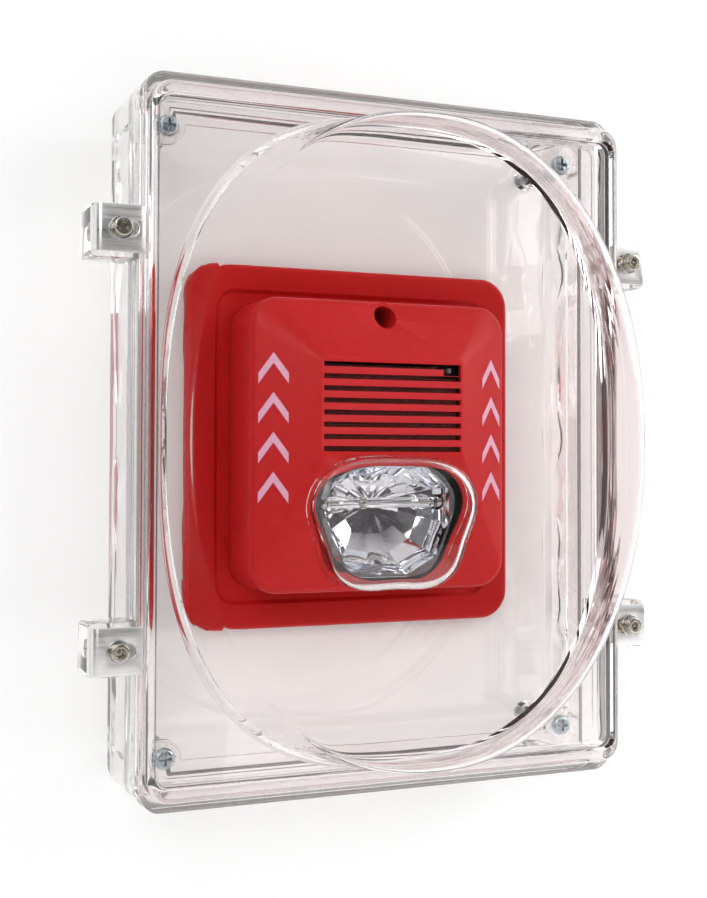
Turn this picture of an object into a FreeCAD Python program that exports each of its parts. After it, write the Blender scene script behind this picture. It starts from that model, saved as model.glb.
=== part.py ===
import FreeCAD, Part
import math, os

V = FreeCAD.Vector
os.makedirs("parts", exist_ok=True)

# ---------------------------------------------------------------------------
# Wall horn strobe in a clear protective enclosure.
# Frame: origin at the centre of the enclosure's back face, +X right,
# +Z up, +Y into the wall. The front of the object faces -Y. Millimetres.
# ---------------------------------------------------------------------------

# enclosure outline
W, H, R = 205.0, 276.5, 9.0        # outer outline of box, frame and cover flange
WALL = 3.2                         # side wall thickness
PANEL = 3.0                        # back panel thickness
BOX_D = 29.0                       # depth of the back box
SEAL_T = 0.8                       # frame gasket thickness
FR_Y0, FR_Y1 = -29.8, -46.0        # mounting frame, back and front
LIP_Y1 = -32.0                     # inner lip of the mounting frame
LIP_W, LIP_H = 186.0, 246.6        # opening inside the lip
TG_W, TG_H, TG_T = 197.9, 257.6, 1.6   # locating tongue, outer size and thickness
TG_Y1 = -53.2
SCR_X, SCR_Z = 88.0, 121.7         # corner screw axes
POST_R = 5.5

# cover
FL_Y0, FL_Y1 = -46.3, -51.5        # cover flange
ST_W, ST_H, ST_R = 202.0, 266.0, 8.5   # raised step of the cover
ST_Y1 = -60.0
REC_W, REC_H, REC_R = 196.6, 255.6, 6.0
REC_Y = -57.6                      # recessed face of the cover
CAV_W, CAV_H, CAV_R = 198.5, 258.2, 6.6
CAV_Y = -55.0
DOME_Y = -93.5                     # front of the dome
DOME_T = 1.4

# clips and their screws
CLIP_Z = 77.5
EAR_X1 = 121.0
EAR_Y0, EAR_Y1 = -31.0, -48.0
EAR_H = 20.0
CS_X = 110.5                       # clip screw axis
CLIP_X0, CLIP_X1 = 101.3, 120.0
CLIP_H = 17.5
CLIP_T = 1.4
CLIP_Y = -51.7                     # back of the clip plate
SHANK_R, INS_R = 2.10, 2.15        # clip screw shank and insert bore
LEG_Y = -48.3

# horn strobe
XB, ZB = 2.1, -1.5                 # centre of the sounder housing
PL_W, PL_H, PL_R = 148.0, 151.0, 12.5
PL_X, PL_Z = 1.7, -1.9
PL_Y0, PL_Y1 = -3.0, -8.9
PL_REC = -7.4
HB_W, HB_H, HB_R = 113.3, 118.3, 12.0
HB_Y0, HB_Y1 = -7.5, -36.3
PN_X, PN_Z0, PN_Z1 = 31.2, -6.5, 33.6  # raised centre panel: half width and height span
PN_Y = -47.5
HT = 2.2                           # housing wall
SLOT_N, SLOT_P, SLOT_Z0, SLOT_HT, SLOT_X = 8, 4.79, 30.6, 2.1, 30.2
RECESS_Z, RECESS_R = 50.9, 4.85
LENS_Y = -54.5
LENS_T = 1.6


def rr_wire(w, h, r, y, cx=0.0, cz=0.0):
    """Rounded rectangle in the XZ plane, eight edges, always from the same start."""
    x, z = w / 2.0, h / 2.0
    k = math.sqrt(0.5)
    P = lambda a, b: V(cx + a, y, cz + b)
    e = []
    def line(a, b):
        e.append(Part.LineSegment(a, b).toShape())
    def arc(a, m, b):
        e.append(Part.Arc(a, m, b).toShape())
    line(P(-x + r, -z), P(x - r, -z))
    arc(P(x - r, -z), P(x - r + r * k, -z + r - r * k), P(x, -z + r))
    line(P(x, -z + r), P(x, z - r))
    arc(P(x, z - r), P(x - r + r * k, z - r + r * k), P(x - r, z))
    line(P(x - r, z), P(-x + r, z))
    arc(P(-x + r, z), P(-x + r - r * k, z - r + r * k), P(-x, z - r))
    line(P(-x, z - r), P(-x, -z + r))
    arc(P(-x, -z + r), P(-x + r - r * k, -z + r - r * k), P(-x + r, -z))
    return Part.Wire(e)


def rr(w, h, r, y0, y1, cx=0.0, cz=0.0):
    return Part.Face(rr_wire(w, h, r, y0, cx, cz)).extrude(V(0, y1 - y0, 0))


def box(x0, x1, y0, y1, z0, z1):
    x0, x1 = min(x0, x1), max(x0, x1)
    y0, y1 = min(y0, y1), max(y0, y1)
    z0, z1 = min(z0, z1), max(z0, z1)
    return Part.makeBox(x1 - x0, y1 - y0, z1 - z0, V(x0, y0, z0))


def cyl(r, y0, y1, x, z):
    """Cylinder about a line parallel to Y."""
    a, b = max(y0, y1), min(y0, y1)
    return Part.makeCylinder(r, a - b, V(x, a, z), V(0, -1, 0))


def cyl_x(r, x0, x1, y, z):
    return Part.makeCylinder(r, x1 - x0, V(x0, y, z), V(1, 0, 0))


def cone(r0, r1, y0, y1, x, z):
    return Part.makeCone(r0, r1, abs(y1 - y0), V(x, y0, z), V(0, -1 if y1 < y0 else 1, 0))


def try_fillet(s, r, pick):
    ed = [e for e in s.Edges if pick(e)]
    if not ed:
        return s
    try:
        f = s.makeFillet(r, ed)
        if f.isValid() and f.Volume > 0:
            return f
    except Exception:
        pass
    print("fillet skipped", r, len(ed))
    return s


def at_y(e, y, tol=0.01):
    b = e.BoundBox
    return abs(b.YMin - y) < tol and abs(b.YMax - y) < tol


def superell(a, b, n, y, cx=0.0, cz=0.0, m=64):
    pts = []
    for i in range(m):
        t = 2 * math.pi * i / m
        t += 0.10 * math.sin(4 * t)
        c, s = a * math.cos(t), b * math.sin(t)
        k = (abs(c / a) ** n + abs(s / b) ** n) ** (-1.0 / n)
        pts.append(V(cx + c * k, y, cz + s * k))
    bs = Part.BSplineCurve()
    bs.interpolate(pts, PeriodicFlag=True)
    return Part.Wire([bs.toShape()])


nodes = {}


def put(name, shape):
    try:
        shape = shape.removeSplitter()
    except Exception:
        pass
    nodes[name] = shape


corners = [(sx * SCR_X, sz * SCR_Z, sx, sz) for sx in (-1, 1) for sz in (-1, 1)]

# ---------------------------------------------------------------- back box
b = rr(W, H, R, 0, -BOX_D).cut(rr(W - 2 * WALL, H - 2 * WALL, R - WALL, -PANEL, -BOX_D - 1))
for x, z, sx, sz in corners:
    post = cyl(POST_R, -PANEL + 0.5, -BOX_D, x, z)
    post = post.fuse(box(x, sx * (W / 2 - 1.0), -PANEL + 0.5, -BOX_D, z - 1.1, z + 1.1))
    post = post.fuse(box(x - 1.1, x + 1.1, -PANEL + 0.5, -BOX_D, z, sz * (H / 2 - 1.0)))
    b = b.fuse(post)
for x, z, sx, sz in corners:
    b = b.cut(cyl(2.25, 5, -BOX_D - 1, x, z))
b = b.cut(cyl(11.1, 1, -PANEL - 1, 0, 0))
b = try_fillet(b, 1.2, lambda e: at_y(e, 0) and e.BoundBox.DiagonalLength > 8 and
               (abs(abs(e.CenterOfMass.x) - W / 2) < 4 or abs(abs(e.CenterOfMass.z) - H / 2) < 4))
put("back_box", b)

g = rr(W - 0.6, H - 0.6, R - 0.3, -BOX_D, -BOX_D - SEAL_T).cut(
    rr(W - 2 * WALL, H - 2 * WALL, R - WALL, -BOX_D + 1, -BOX_D - 2))
put("frame_gasket", g)

# ---------------------------------------------------------- mounting frame
f = rr(W, H, R, FR_Y0, FR_Y1).cut(rr(W - 2 * WALL, H - 2 * WALL, R - WALL, LIP_Y1, FR_Y1 + 3.0))
f = f.cut(rr(LIP_W, LIP_H, 5.0, FR_Y0 + 1, LIP_Y1 - 1))
f = f.cut(rr(TG_W - 2 * TG_T, TG_H - 2 * TG_T, 4.7, FR_Y1 + 4.0, FR_Y1 - 1))
f = f.fuse(rr(TG_W, TG_H, 6.3, FR_Y1 + 1.0, TG_Y1).cut(
    rr(TG_W - 2 * TG_T, TG_H - 2 * TG_T, 4.7, FR_Y1 + 2, TG_Y1 - 1)))
for x, z, sx, sz in corners:
    lug = cyl(7.0, FR_Y0, LIP_Y1, x, z)
    lug = lug.fuse(box(x, sx * (W / 2 - 1.5), FR_Y0, LIP_Y1, z - 7.0, z + 7.0))
    lug = lug.fuse(box(x - 7.0, x + 7.0, FR_Y0, LIP_Y1, z, sz * (H / 2 - 1.5)))
    f = f.fuse(lug)
for x, z, sx, sz in corners:
    f = f.cut(cyl(2.3, FR_Y0 + 1, LIP_Y1 - 1, x, z))
for sx in (-1, 1):
    for sz in (-1, 1):
        cz = sz * CLIP_Z
        ear = rr(EAR_X1 - 102.8, EAR_H, 2.5, EAR_Y0, EAR_Y1, sx * (102.8 + EAR_X1) / 2, cz)
        ear = ear.fuse(box(sx * 101.2, sx * 106.0, EAR_Y0, FR_Y1, cz - EAR_H / 2, cz + EAR_H / 2))
        f = f.fuse(ear)
        f = f.cut(cyl(3.3, EAR_Y1 - 1, -35.5, sx * CS_X, cz))
f = try_fillet(f, 0.8, lambda e: at_y(e, FR_Y1) and (abs(abs(e.CenterOfMass.z) - H / 2) < 0.5))
put("mount_frame", f)

put("cover_gasket", rr(TG_W - 0.3, TG_H - 0.3, 6.15, TG_Y1, TG_Y1 - 1.4).cut(
    rr(TG_W - 2.3, TG_H - 2.3, 5.15, TG_Y1 + 1, TG_Y1 - 3)))

# threaded inserts in the ears
s = []
for sx in (-1, 1):
    for sz in (-1, 1):
        x, z = sx * CS_X, sz * CLIP_Z
        i = cyl(3.3, EAR_Y1, -36.0, x, z)
        i = i.cut(cyl(INS_R, EAR_Y1 - 1, -35.0, x, z))
        s.append(i)
put("threaded_inserts", Part.makeCompound(s))


# ---------------------------------------------------------------- fasteners
def cross_recess(y_top, depth, size, x, z, w=1.1):
    a = box(x - size, x + size, y_top - 0.5, y_top + depth, z - w / 2, z + w / 2)
    c = box(x - w / 2, x + w / 2, y_top - 0.5, y_top + depth, z - size, z + size)
    return a.fuse(c)


def pan_head(r, h, y_seat, x, z, rec=True):
    """Pan head standing on y_seat towards -Y."""
    prof = [(0, 0), (r, 0), (r, h * 0.35), (r * 0.93, h * 0.72), (r * 0.72, h * 0.95), (0, h)]
    edges = []
    P = [V(x + a, y_seat - c, z) for a, c in prof]
    edges.append(Part.LineSegment(P[0], P[1]).toShape())
    edges.append(Part.LineSegment(P[1], P[2]).toShape())
    bs = Part.BSplineCurve()
    bs.interpolate([P[2], P[3], P[4], P[5]])
    edges.append(bs.toShape())
    edges.append(Part.LineSegment(P[5], P[0]).toShape())
    s = Part.Face(Part.Wire(edges)).revolve(V(x, y_seat, z), V(0, 1, 0), 360)
    if rec:
        s = s.cut(cross_recess(y_seat - h, h * 0.72, r * 0.62, x, z, r * 0.28))
    return s


s = []
for x, z, sx, sz in corners:
    c = pan_head(4.2, 2.9, LIP_Y1, x, z)
    c = c.fuse(cyl(1.9, LIP_Y1 - 0.1, 0.0, x, z))              # plain shank inside the box
    c = c.fuse(cyl(2.1, 0.0, 14.0, x, z)).fuse(cone(2.1, 0.35, 14.0, 20.0, x, z))
    s.append(c)
put("wall_screws", Part.makeCompound(s))

# rubber grommet in the cable entry
gr = cyl(13.8, 0, -PANEL, 0, 0).common(cyl(11.05, 0, -PANEL, 0, 0))
gr = gr.fuse(cyl(13.8, -PANEL, -PANEL - 1.6, 0, 0)).cut(cyl(7.0, 2, -8, 0, 0))
put("cable_grommet", gr)

# ------------------------------------------------------------------- cover
dome_sections = [
    (-57.0, 98.0, 127.6, 2.62), (-57.9, 97.1, 126.7, 2.60), (-58.9, 96.5, 126.1, 2.57),
    (-60.4, 96.1, 125.7, 2.54), (-64.0, 95.7, 125.3, 2.46), (-72.0, 95.1, 124.7, 2.32),
    (-80.0, 94.6, 124.2, 2.22), (-85.5, 94.2, 123.8, 2.17)]
RF = 8.0
for k in range(1, 7):
    t = math.radians(15 * k)
    dome_sections.append((-85.5 - RF * math.sin(t), 94.2 - RF * (1 - math.cos(t)),
                          123.8 - RF * (1 - math.cos(t)), 2.17 - 0.01 * k))


def loft(sections):
    return Part.makeLoft([superell(a, bb, n, y) for y, a, bb, n in sections], True, False)


dome_out = loft(dome_sections)
inner = []
for y, a, bb, n in dome_sections:
    if y > -57.5:
        inner.append((-54.0, a - DOME_T - 1.2, bb - DOME_T - 1.2, n))
    elif y > -60.0:
        continue
    elif y >= -85.6:
        inner.append((y, a - DOME_T, bb - DOME_T, n))
RI = RF - DOME_T
for k in range(1, 7):
    t = math.radians(15 * k)
    inner.append((-85.5 - RI * math.sin(t), 94.2 - DOME_T - RI * (1 - math.cos(t)),
                  123.8 - DOME_T - RI * (1 - math.cos(t)), 2.17 - 0.01 * k))
dome_in = loft(inner)
print("dome loft", dome_out.isValid(), dome_in.isValid(), round(dome_out.Volume), round(dome_in.Volume))

step = rr(ST_W, ST_H, ST_R, FL_Y1 + 1.0, ST_Y1)
step = try_fillet(step, 2.4, lambda e: at_y(e, ST_Y1))
flange = rr(W, H, R, FL_Y0, FL_Y1)
flange = try_fillet(flange, 1.6, lambda e: at_y(e, FL_Y1))
cover = flange.fuse(step)
rec = Part.makeLoft([rr_wire(REC_W - 1.6, REC_H - 1.6, REC_R - 0.8, REC_Y),
                     rr_wire(REC_W + 0.6, REC_H + 0.6, REC_R + 0.3, ST_Y1 - 0.5)], True, True)
cover = cover.cut(rec)
cover = cover.fuse(dome_out)
cover = cover.cut(rr(CAV_W, CAV_H, CAV_R, FL_Y0 + 1, CAV_Y))
cover = cover.cut(dome_in)
print("cover", cover.isValid(), len(cover.Solids), round(cover.Volume))
put("dome_cover", cover)

# ------------------------------------------------- clips, washers and screws
quad = {"top_left": (-1, 1), "top_right": (1, 1), "bottom_left": (-1, -1), "bottom_right": (1, -1)}
for q, (sx, sz) in quad.items():
    cz = sz * CLIP_Z
    # section in XY of a bent strip, extruded in Z
    xo, t, rb = CLIP_X1, CLIP_T, 2.6
    k = math.sqrt(0.5)
    yb, yf = CLIP_Y, CLIP_Y - CLIP_T
    ri = rb - t
    P = lambda x, y: V(sx * x, y, cz - CLIP_H / 2)
    xc, yc = xo - rb, yf + rb
    e = [Part.LineSegment(P(CLIP_X0, yb), P(CLIP_X0, yf)).toShape(),
         Part.LineSegment(P(CLIP_X0, yf), P(xc, yf)).toShape(),
         Part.Arc(P(xc, yf), P(xc + rb * k, yc - rb * k), P(xo, yc)).toShape(),
         Part.LineSegment(P(xo, yc), P(xo, LEG_Y)).toShape(),
         Part.LineSegment(P(xo, LEG_Y), P(xo - t, LEG_Y)).toShape(),
         Part.LineSegment(P(xo - t, LEG_Y), P(xo - t, yc)).toShape(),
         Part.Arc(P(xo - t, yc), P(xc + ri * k, yc - ri * k), P(xc, yb)).toShape(),
         Part.LineSegment(P(xc, yb), P(CLIP_X0, yb)).toShape()]
    clip = Part.Face(Part.Wire(e)).extrude(V(0, 0, CLIP_H))
    # oblong slot: the screw sits at the outer part of it
    s0, s1, hw = CS_X - 6.2, CS_X + 3.6, 2.75
    slot = rr(s1 - s0, 2 * hw, hw - 0.01, CLIP_Y + 2, yf - 2, sx * (s0 + s1) / 2, cz)
    clip = clip.cut(slot)
    csk = Part.makeLoft([rr_wire(s1 - s0, 2 * hw, hw - 0.01, yf + 0.5, sx * (s0 + s1) / 2, cz),
                         rr_wire(s1 - s0 + 1.2, 2 * hw + 1.2, hw + 0.59, yf - 0.1, sx * (s0 + s1) / 2, cz)],
                        True, True)
    clip = clip.cut(csk)
    clip = try_fillet(clip, 0.9, lambda e: abs(e.BoundBox.YLength - CLIP_T) < 0.05 and
                      e.BoundBox.XLength < 0.01 and e.BoundBox.ZLength < 0.01 and
                      abs(abs(e.CenterOfMass.x) - CLIP_X0) < 0.1)
    put("clip_" + q, clip)

    x = sx * CS_X
    w0 = yf - 0.15
    wash = cyl(4.4, w0, w0 - 0.8, x, cz).cut(cyl(SHANK_R + 0.15, w0 + 1, w0 - 3, x, cz))
    wash = try_fillet(wash, 0.25, lambda e: at_y(e, w0 - 0.8) and e.BoundBox.XLength > 8)
    put("washer_" + q, wash)
    h0 = w0 - 0.8
    head = cyl(3.55, h0, h0 - 3.4, x, cz)
    head = try_fillet(head, 0.6, lambda e: at_y(e, h0 - 3.4))
    hexr = 1.75
    pts = [V(x + hexr * math.cos(math.radians(60 * i)), h0 - 4.4, cz + hexr * math.sin(math.radians(60 * i)))
           for i in range(7)]
    hexs = Part.Face(Part.makePolygon(pts)).extrude(V(0, 3.4, 0))
    head = head.cut(hexs).fuse(cyl(0.55, h0 - 0.8, h0 - 2.6, x, cz))
    scr = head.fuse(cyl(SHANK_R, h0 + 0.1 - 0.2, -38.0, x, cz)).fuse(cone(SHANK_R, 1.4, -38.0, -37.0, x, cz))
    put("clip_screw_" + q, scr)

# -------------------------------------------------------------- trim plate
trim_scr = []
TS = [(PL_X + sx * 51.0, PL_Z + sz * 52.0) for sx in (-1, 1) for sz in (-1, 1)]
p = rr(PL_W, PL_H, PL_R, PL_Y0, PL_Y1, PL_X, PL_Z)
p = try_fillet(p, 2.2, lambda e: at_y(e, PL_Y1))
p = p.cut(Part.makeLoft([rr_wire(122.4, 127.4, 7.0, PL_REC, PL_X, PL_Z),
                         rr_wire(125.8, 130.8, 8.7, PL_Y1 - 0.2, PL_X, PL_Z)], True, True))
p = p.cut(rr(92, 96, 6, PL_Y0 + 1, PL_Y1 - 1, PL_X, PL_Z))
for x, z in TS:
    p = p.cut(cyl(1.8, PL_Y0 + 1, PL_Y1 - 1, x, z))
    p = p.cut(cone(1.8, 3.6, PL_REC + 1.8, PL_REC, x, z))
put("trim_plate", p)
for x, z in TS:
    c = cone(1.7, 3.4, PL_REC + 1.75, PL_REC + 0.05, x, z)
    c = c.fuse(cyl(1.7, PL_REC + 1.75, -0.4, x, z))
    c = c.cut(cross_recess(PL_REC, 1.2, 1.9, x, z, 0.8))
    trim_scr.append(c)
put("trim_screws", Part.makeCompound(trim_scr))
# clearance holes for those screws in the back panel
bb_ = nodes["back_box"]
for x, z in TS:
    bb_ = bb_.cut(cyl(1.75, 1, -PANEL - 1, x, z))
nodes["back_box"] = bb_

# --------------------------------------------------------------- horn base
hb = rr(107.0, 112.0, 9.0, PL_REC, PL_REC - 2.2, XB, ZB)
hb = hb.cut(cyl(30.0, 0, -20, 0, 0))
SO = [(XB + sx * 42.0, zz) for sx in (-1, 1) for zz in (-48.0, 36.0)]
for x, z in SO:
    hb = hb.fuse(cyl(3.2, PL_REC - 2.0, -20.0, x, z))
hb = hb.fuse(cyl(4.2, PL_REC - 2.0, -13.0, XB, RECESS_Z))
for x, z in SO:
    hb = hb.cut(cyl(1.25, -11.0, -21.0, x, z))
hb = hb.cut(cyl(1.55, -6.0, -14.0, XB, RECESS_Z))
put("horn_base", hb)

# ------------------------------------------------------------ horn housing
def housing_outer(d):
    """Outer form of the housing moved inwards by d."""
    w, h, r = HB_W - 2 * d, HB_H - 2 * d, HB_R - d
    yv = HB_Y1 + d * 0.8
    secs = []
    rf = 3.2 - d if d < 3 else 0.6
    for k in range(0, 5):
        t = math.radians(17.0 * k)
        secs.append((w - 2 * rf * (1 - math.cos(t)), h - 2 * rf * (1 - math.cos(t)), r,
                     yv + rf - rf * math.sin(t) - 0.35))
    body = rr(w, h, r, HB_Y0 + (0 if d == 0 else 1), secs[0][3], XB, ZB)
    rim = Part.makeLoft([rr_wire(a, c, max(r - 0.5 * (w - a), 1.0), y, XB, ZB) for a, c, r, y in secs], True, True)
    w1, h1, _, y1 = secs[-1]
    pw, ph = 2 * (PN_X - d * 0.6), (PN_Z1 - PN_Z0) - 2 * d * 0.6
    top = rr_wire(pw, ph, 2.5, PN_Y + d, XB, (PN_Z0 + PN_Z1) / 2)
    bot = rr_wire(w1, h1, max(r - 0.5 * (w - w1), 1.0), y1, XB, ZB)
    pyr = Part.makeLoft([bot, top], True, True)
    return body.fuse(rim).fuse(pyr), y1


outer, y_out = housing_outer(0.0)
innr, _ = housing_outer(HT)
print("housing", outer.isValid(), innr.isValid(), "edge y", round(y_out, 2))

LENS_PTS = [(0, -5.6), (-18, -6.6), (-27, -10), (-33.5, -16.5), (-36, -25), (-31.5, -40), (-25.5, -53.3),
            (-17.5, -58.3), (0, -59.0), (17.5, -58.3), (25.5, -53.3), (31.5, -40), (36, -25), (33.5, -16.5),
            (27, -10), (18, -6.6)]


def lens_wire(y, inset=0.0, dz=0.0):
    cz = -31.0
    pts = []
    n = len(LENS_PTS)
    for i, (a, c) in enumerate(LENS_PTS):
        (a0, c0), (a1, c1) = LENS_PTS[i - 1], LENS_PTS[(i + 1) % n]
        tx, tz = a1 - a0, c1 - c0
        L = math.hypot(tx, tz)
        nx, nz = tz / L, -tx / L
        if nx * a + nz * (c - cz) < 0:
            nx, nz = -nx, -nz
        pts.append(V(XB + a - nx * inset, y, c - nz * inset + dz))
    bs = Part.BSplineCurve()
    bs.interpolate(pts, PeriodicFlag=True)
    return Part.Wire([bs.toShape()])


def lens_solid(y0, y1, i0, i1=None):
    if i1 is None:
        return Part.Face(lens_wire(y0, i0)).extrude(V(0, y1 - y0, 0))
    return Part.makeLoft([lens_wire(y0, i0), lens_wire(y1, i1)], True, True)


hs = outer.cut(innr)
# slots
for i in range(SLOT_N):
    z = SLOT_Z0 - SLOT_P * i
    hs = hs.cut(box(XB - SLOT_X, XB + SLOT_X, PN_Y - 1, PN_Y + 6, z - SLOT_HT / 2, z + SLOT_HT / 2))
WIN = (XB + SLOT_X - 8.0, XB + SLOT_X, SLOT_Z0 - 3.6, SLOT_Z0 + SLOT_HT / 2)
hs = hs.cut(box(WIN[0], WIN[1], PN_Y - 1, PN_Y + 6, WIN[2], WIN[3]))
# screw well
well = cyl(RECESS_R + 1.5, -13.2, -36.0, XB, RECESS_Z)
well = well.fuse(cyl(RECESS_R + 1.5, -35.0, -60.0, XB, RECESS_Z).common(outer))
hs = hs.fuse(well)
hs = hs.cut(cyl(RECESS_R, -15.4, -60.0, XB, RECESS_Z))
hs = hs.cut(cyl(1.7, -10.0, -60.0, XB, RECESS_Z))
# strobe window with a ledge for the lens
hs = hs.cut(lens_solid(-20.0, -60.0, 3.4))
# the lens sits on the sloping face: its foot follows the face 0.8 mm down
foot, _ = housing_outer(0.8)
lens_void = lens_solid(-20.0, -60.0, -0.05).cut(foot)
hs = hs.cut(lens_void)
print("horn_housing", hs.isValid(), len(hs.Solids), round(hs.Volume))
put("horn_housing", hs)

# ------------------------------------------------------------- strobe lens
lens = lens_solid(-20.0, -49.9, 0.0)
lsec = [(-49.3, 0.0), (-51.3, 0.25), (-52.9, 0.9), (-54.0, 2.0), (-54.4, 3.4), (LENS_Y, 5.0)]
lens = lens.fuse(Part.makeLoft([lens_wire(y, i) for y, i in lsec], True, False))
lin = lens_solid(-19.0, -49.9, LENS_T)
lins = [(-49.3, LENS_T), (-50.9, LENS_T + 0.2), (-52.1, LENS_T + 0.9), (-52.8, LENS_T + 2.0), (-52.95, LENS_T + 3.4)]
lin = lin.fuse(Part.makeLoft([lens_wire(y, i) for y, i in lins], True, False))
lens = lens.cut(lin).cut(foot)
if len(lens.Solids) > 1:
    lens = sorted(lens.Solids, key=lambda q_: -q_.Volume)[0]
print("lens", lens.isValid(), len(lens.Solids), round(lens.Volume))
put("strobe_lens", lens)

# --------------------------------------------------------------- reflector
REF_Z = -26.0
def refl_wire(y, k, shift=0.0):
    pts = []
    for a, c in LENS_PTS:
        pts.append(V(XB + a * k, y, REF_Z + (c - REF_Z) * k + shift))
    bs = Part.BSplineCurve()
    bs.interpolate(pts, PeriodicFlag=True)
    return Part.Wire([bs.toShape()])


def bowl(k_add, y_add):
    prof = [(-39.6, 0.845), (-36.0, 0.80), (-32.0, 0.73), (-28.5, 0.62), (-26.0, 0.47), (-24.8, 0.30)]
    return Part.makeLoft([refl_wire(y + y_add, k + k_add) for y, k in prof], True, False)


ref = bowl(0.0, 0.0)
hol = bowl(-0.035, -1.0)
hol = hol.fuse(Part.Face(refl_wire(-40.55, 0.81)).extrude(V(0, -6, 0)))
ref = ref.cut(hol)
TUBE_Y, TUBE_Z = -34.0, -25.0
ref = ref.cut(cyl_x(3.0, XB - 40, XB + 40, TUBE_Y, TUBE_Z))
if len(ref.Solids) > 1:
    ref = sorted(ref.Solids, key=lambda q_: -q_.Volume)[0]
print("reflector", ref.isValid(), len(ref.Solids), round(ref.Volume))
put("reflector", ref)

# flash tube, its caps and the trigger band
put("flash_tube", cyl_x(2.0, XB - 24.0, XB + 24.0, TUBE_Y, TUBE_Z))
caps = []
for s_ in (-1, 1):
    x0, x1 = sorted((XB + s_ * 24.0, XB + s_ * 27.5))
    cap = cyl_x(2.3, x0, x1, TUBE_Y, TUBE_Z)
    xl = XB + s_ * 26.6
    cap = cap.fuse(Part.makeCylinder(0.5, 12.0, V(xl, TUBE_Y, TUBE_Z), V(0, 1, 0)))
    caps.append(cap)
put("tube_end_caps", Part.makeCompound(caps))
band = cyl_x(2.35, XB - 8.0, XB - 6.4, TUBE_Y, TUBE_Z).cut(cyl_x(2.03, XB - 9, XB - 5, TUBE_Y, TUBE_Z))
put("trigger_band", band)

# ----------------------------------------------------------- circuit board
BD_Y = -20.0
bd = rr(95.0, 92.0, 3.0, BD_Y, BD_Y - 1.6, XB, -6.5)
for x, z in SO:
    bd = bd.cut(cyl(1.7, BD_Y + 1, BD_Y - 3, x, z))
put("circuit_board", bd)
s = []
for x, z in SO:
    c = pan_head(2.6, 1.8, BD_Y - 1.6, x, z)
    s.append(c.fuse(cyl(1.2, BD_Y - 1.7, -12.5, x, z)))
put("board_screws", Part.makeCompound(s))

tb = box(XB - 16, XB + 16, -20.0, -10.8, -45.0, -36.0)
for k in range(4):
    x = XB - 12 + 8 * k
    tb = tb.cut(cyl(2.3, -9.0, -14.0, x, -40.2))
    tb = tb.cut(box(x - 2.2, x + 2.2, -18.8, -15.2, -47.0, -41.0))
put("terminal_block", tb)
s = []
for k in range(4):
    x = XB - 12 + 8 * k
    c = cyl(2.1, -11.6, -14.0, x, -40.2)
    c = c.cut(box(x - 2.5, x + 2.5, -11.0, -12.3, -40.6, -39.8))
    s.append(c)
put("terminal_screws", Part.makeCompound(s))

cap = cyl_x(6.4, -36.3, -13.4, -28.4, 32.6)
cap = try_fillet(cap, 0.8, lambda e: e.BoundBox.XLength < 0.01 and e.BoundBox.YLength > 6)
put("flash_capacitor", cap)
tr = rr(13.0, 12.0, 1.0, BD_Y - 1.6, -31.5, 41.2, 20.0)
put("trigger_transformer", tr)
ch = cyl(5.0, BD_Y - 1.6, -29.0, 42.0, 5.0).fuse(cyl(6.2, BD_Y - 1.6, -22.8, 42.0, 5.0)).fuse(
    cyl(6.2, -28.0, -29.2, 42.0, 5.0))
put("boost_coil", ch)

# ------------------------------------------------------------------ sounder
SD_X, SD_Z = XB, 13.5
cup = cyl(17.5, BD_Y - 1.6, -42.5, SD_X, SD_Z).cut(cyl(15.7, -26.0, -50.0, SD_X, SD_Z))
put("sounder_cup", cup)
disc = cyl(15.5, -30.0, -30.5, SD_X, SD_Z).fuse(cyl(11.0, -30.5, -31.0, SD_X, SD_Z))
put("sounder_disc", disc)
ring = cyl(15.6, -26.0, -30.0, SD_X, SD_Z).cut(cyl(13.6, -20, -34.0, SD_X, SD_Z))
ring2 = cyl(15.6, -31.2, -33.0, SD_X, SD_Z).cut(cyl(13.6, -20, -34.0, SD_X, SD_Z))
put("sounder_ring", ring)
put("disc_clamp_ring", ring2)
sc = rr(59.0, 34.6, 1.5, PN_Y + 2.7, PN_Y + 2.3, XB, 13.7)
sc = sc.cut(box(WIN[0] - 1.0, XB + 40, -40, -50, WIN[2] - 0.6, 40))
put("grille_screen", sc)

# candela selector in the window at the end of the slots
SWX, SWZ = (WIN[0] + WIN[1]) / 2, (WIN[2] + WIN[3]) / 2
sw = box(SWX - 5.0, SWX + 5.0, BD_Y - 1.6, -40.6, SWZ - 2.9, SWZ + 2.9)
sw = sw.cut(box(SWX - 3.4, SWX + 3.4, -36.6, -45.0, SWZ - 1.35, SWZ + 1.35))
put("selector_body", sw)
sl = box(SWX - 1.6, SWX + 1.6, -37.0, -40.3, SWZ - 1.05, SWZ + 1.05)
sl = sl.fuse(box(SWX - 0.8, SWX + 0.8, -40.0, -44.8, SWZ - 1.05, SWZ + 1.05))
put("selector_slider", sl)

# housing screw at the bottom of the well
hsw = pan_head(3.4, 2.3, -15.4, XB, RECESS_Z)
hsw = hsw.fuse(cyl(1.5, -15.5, -8.2, XB, RECESS_Z))
put("housing_screw", hsw)


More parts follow.
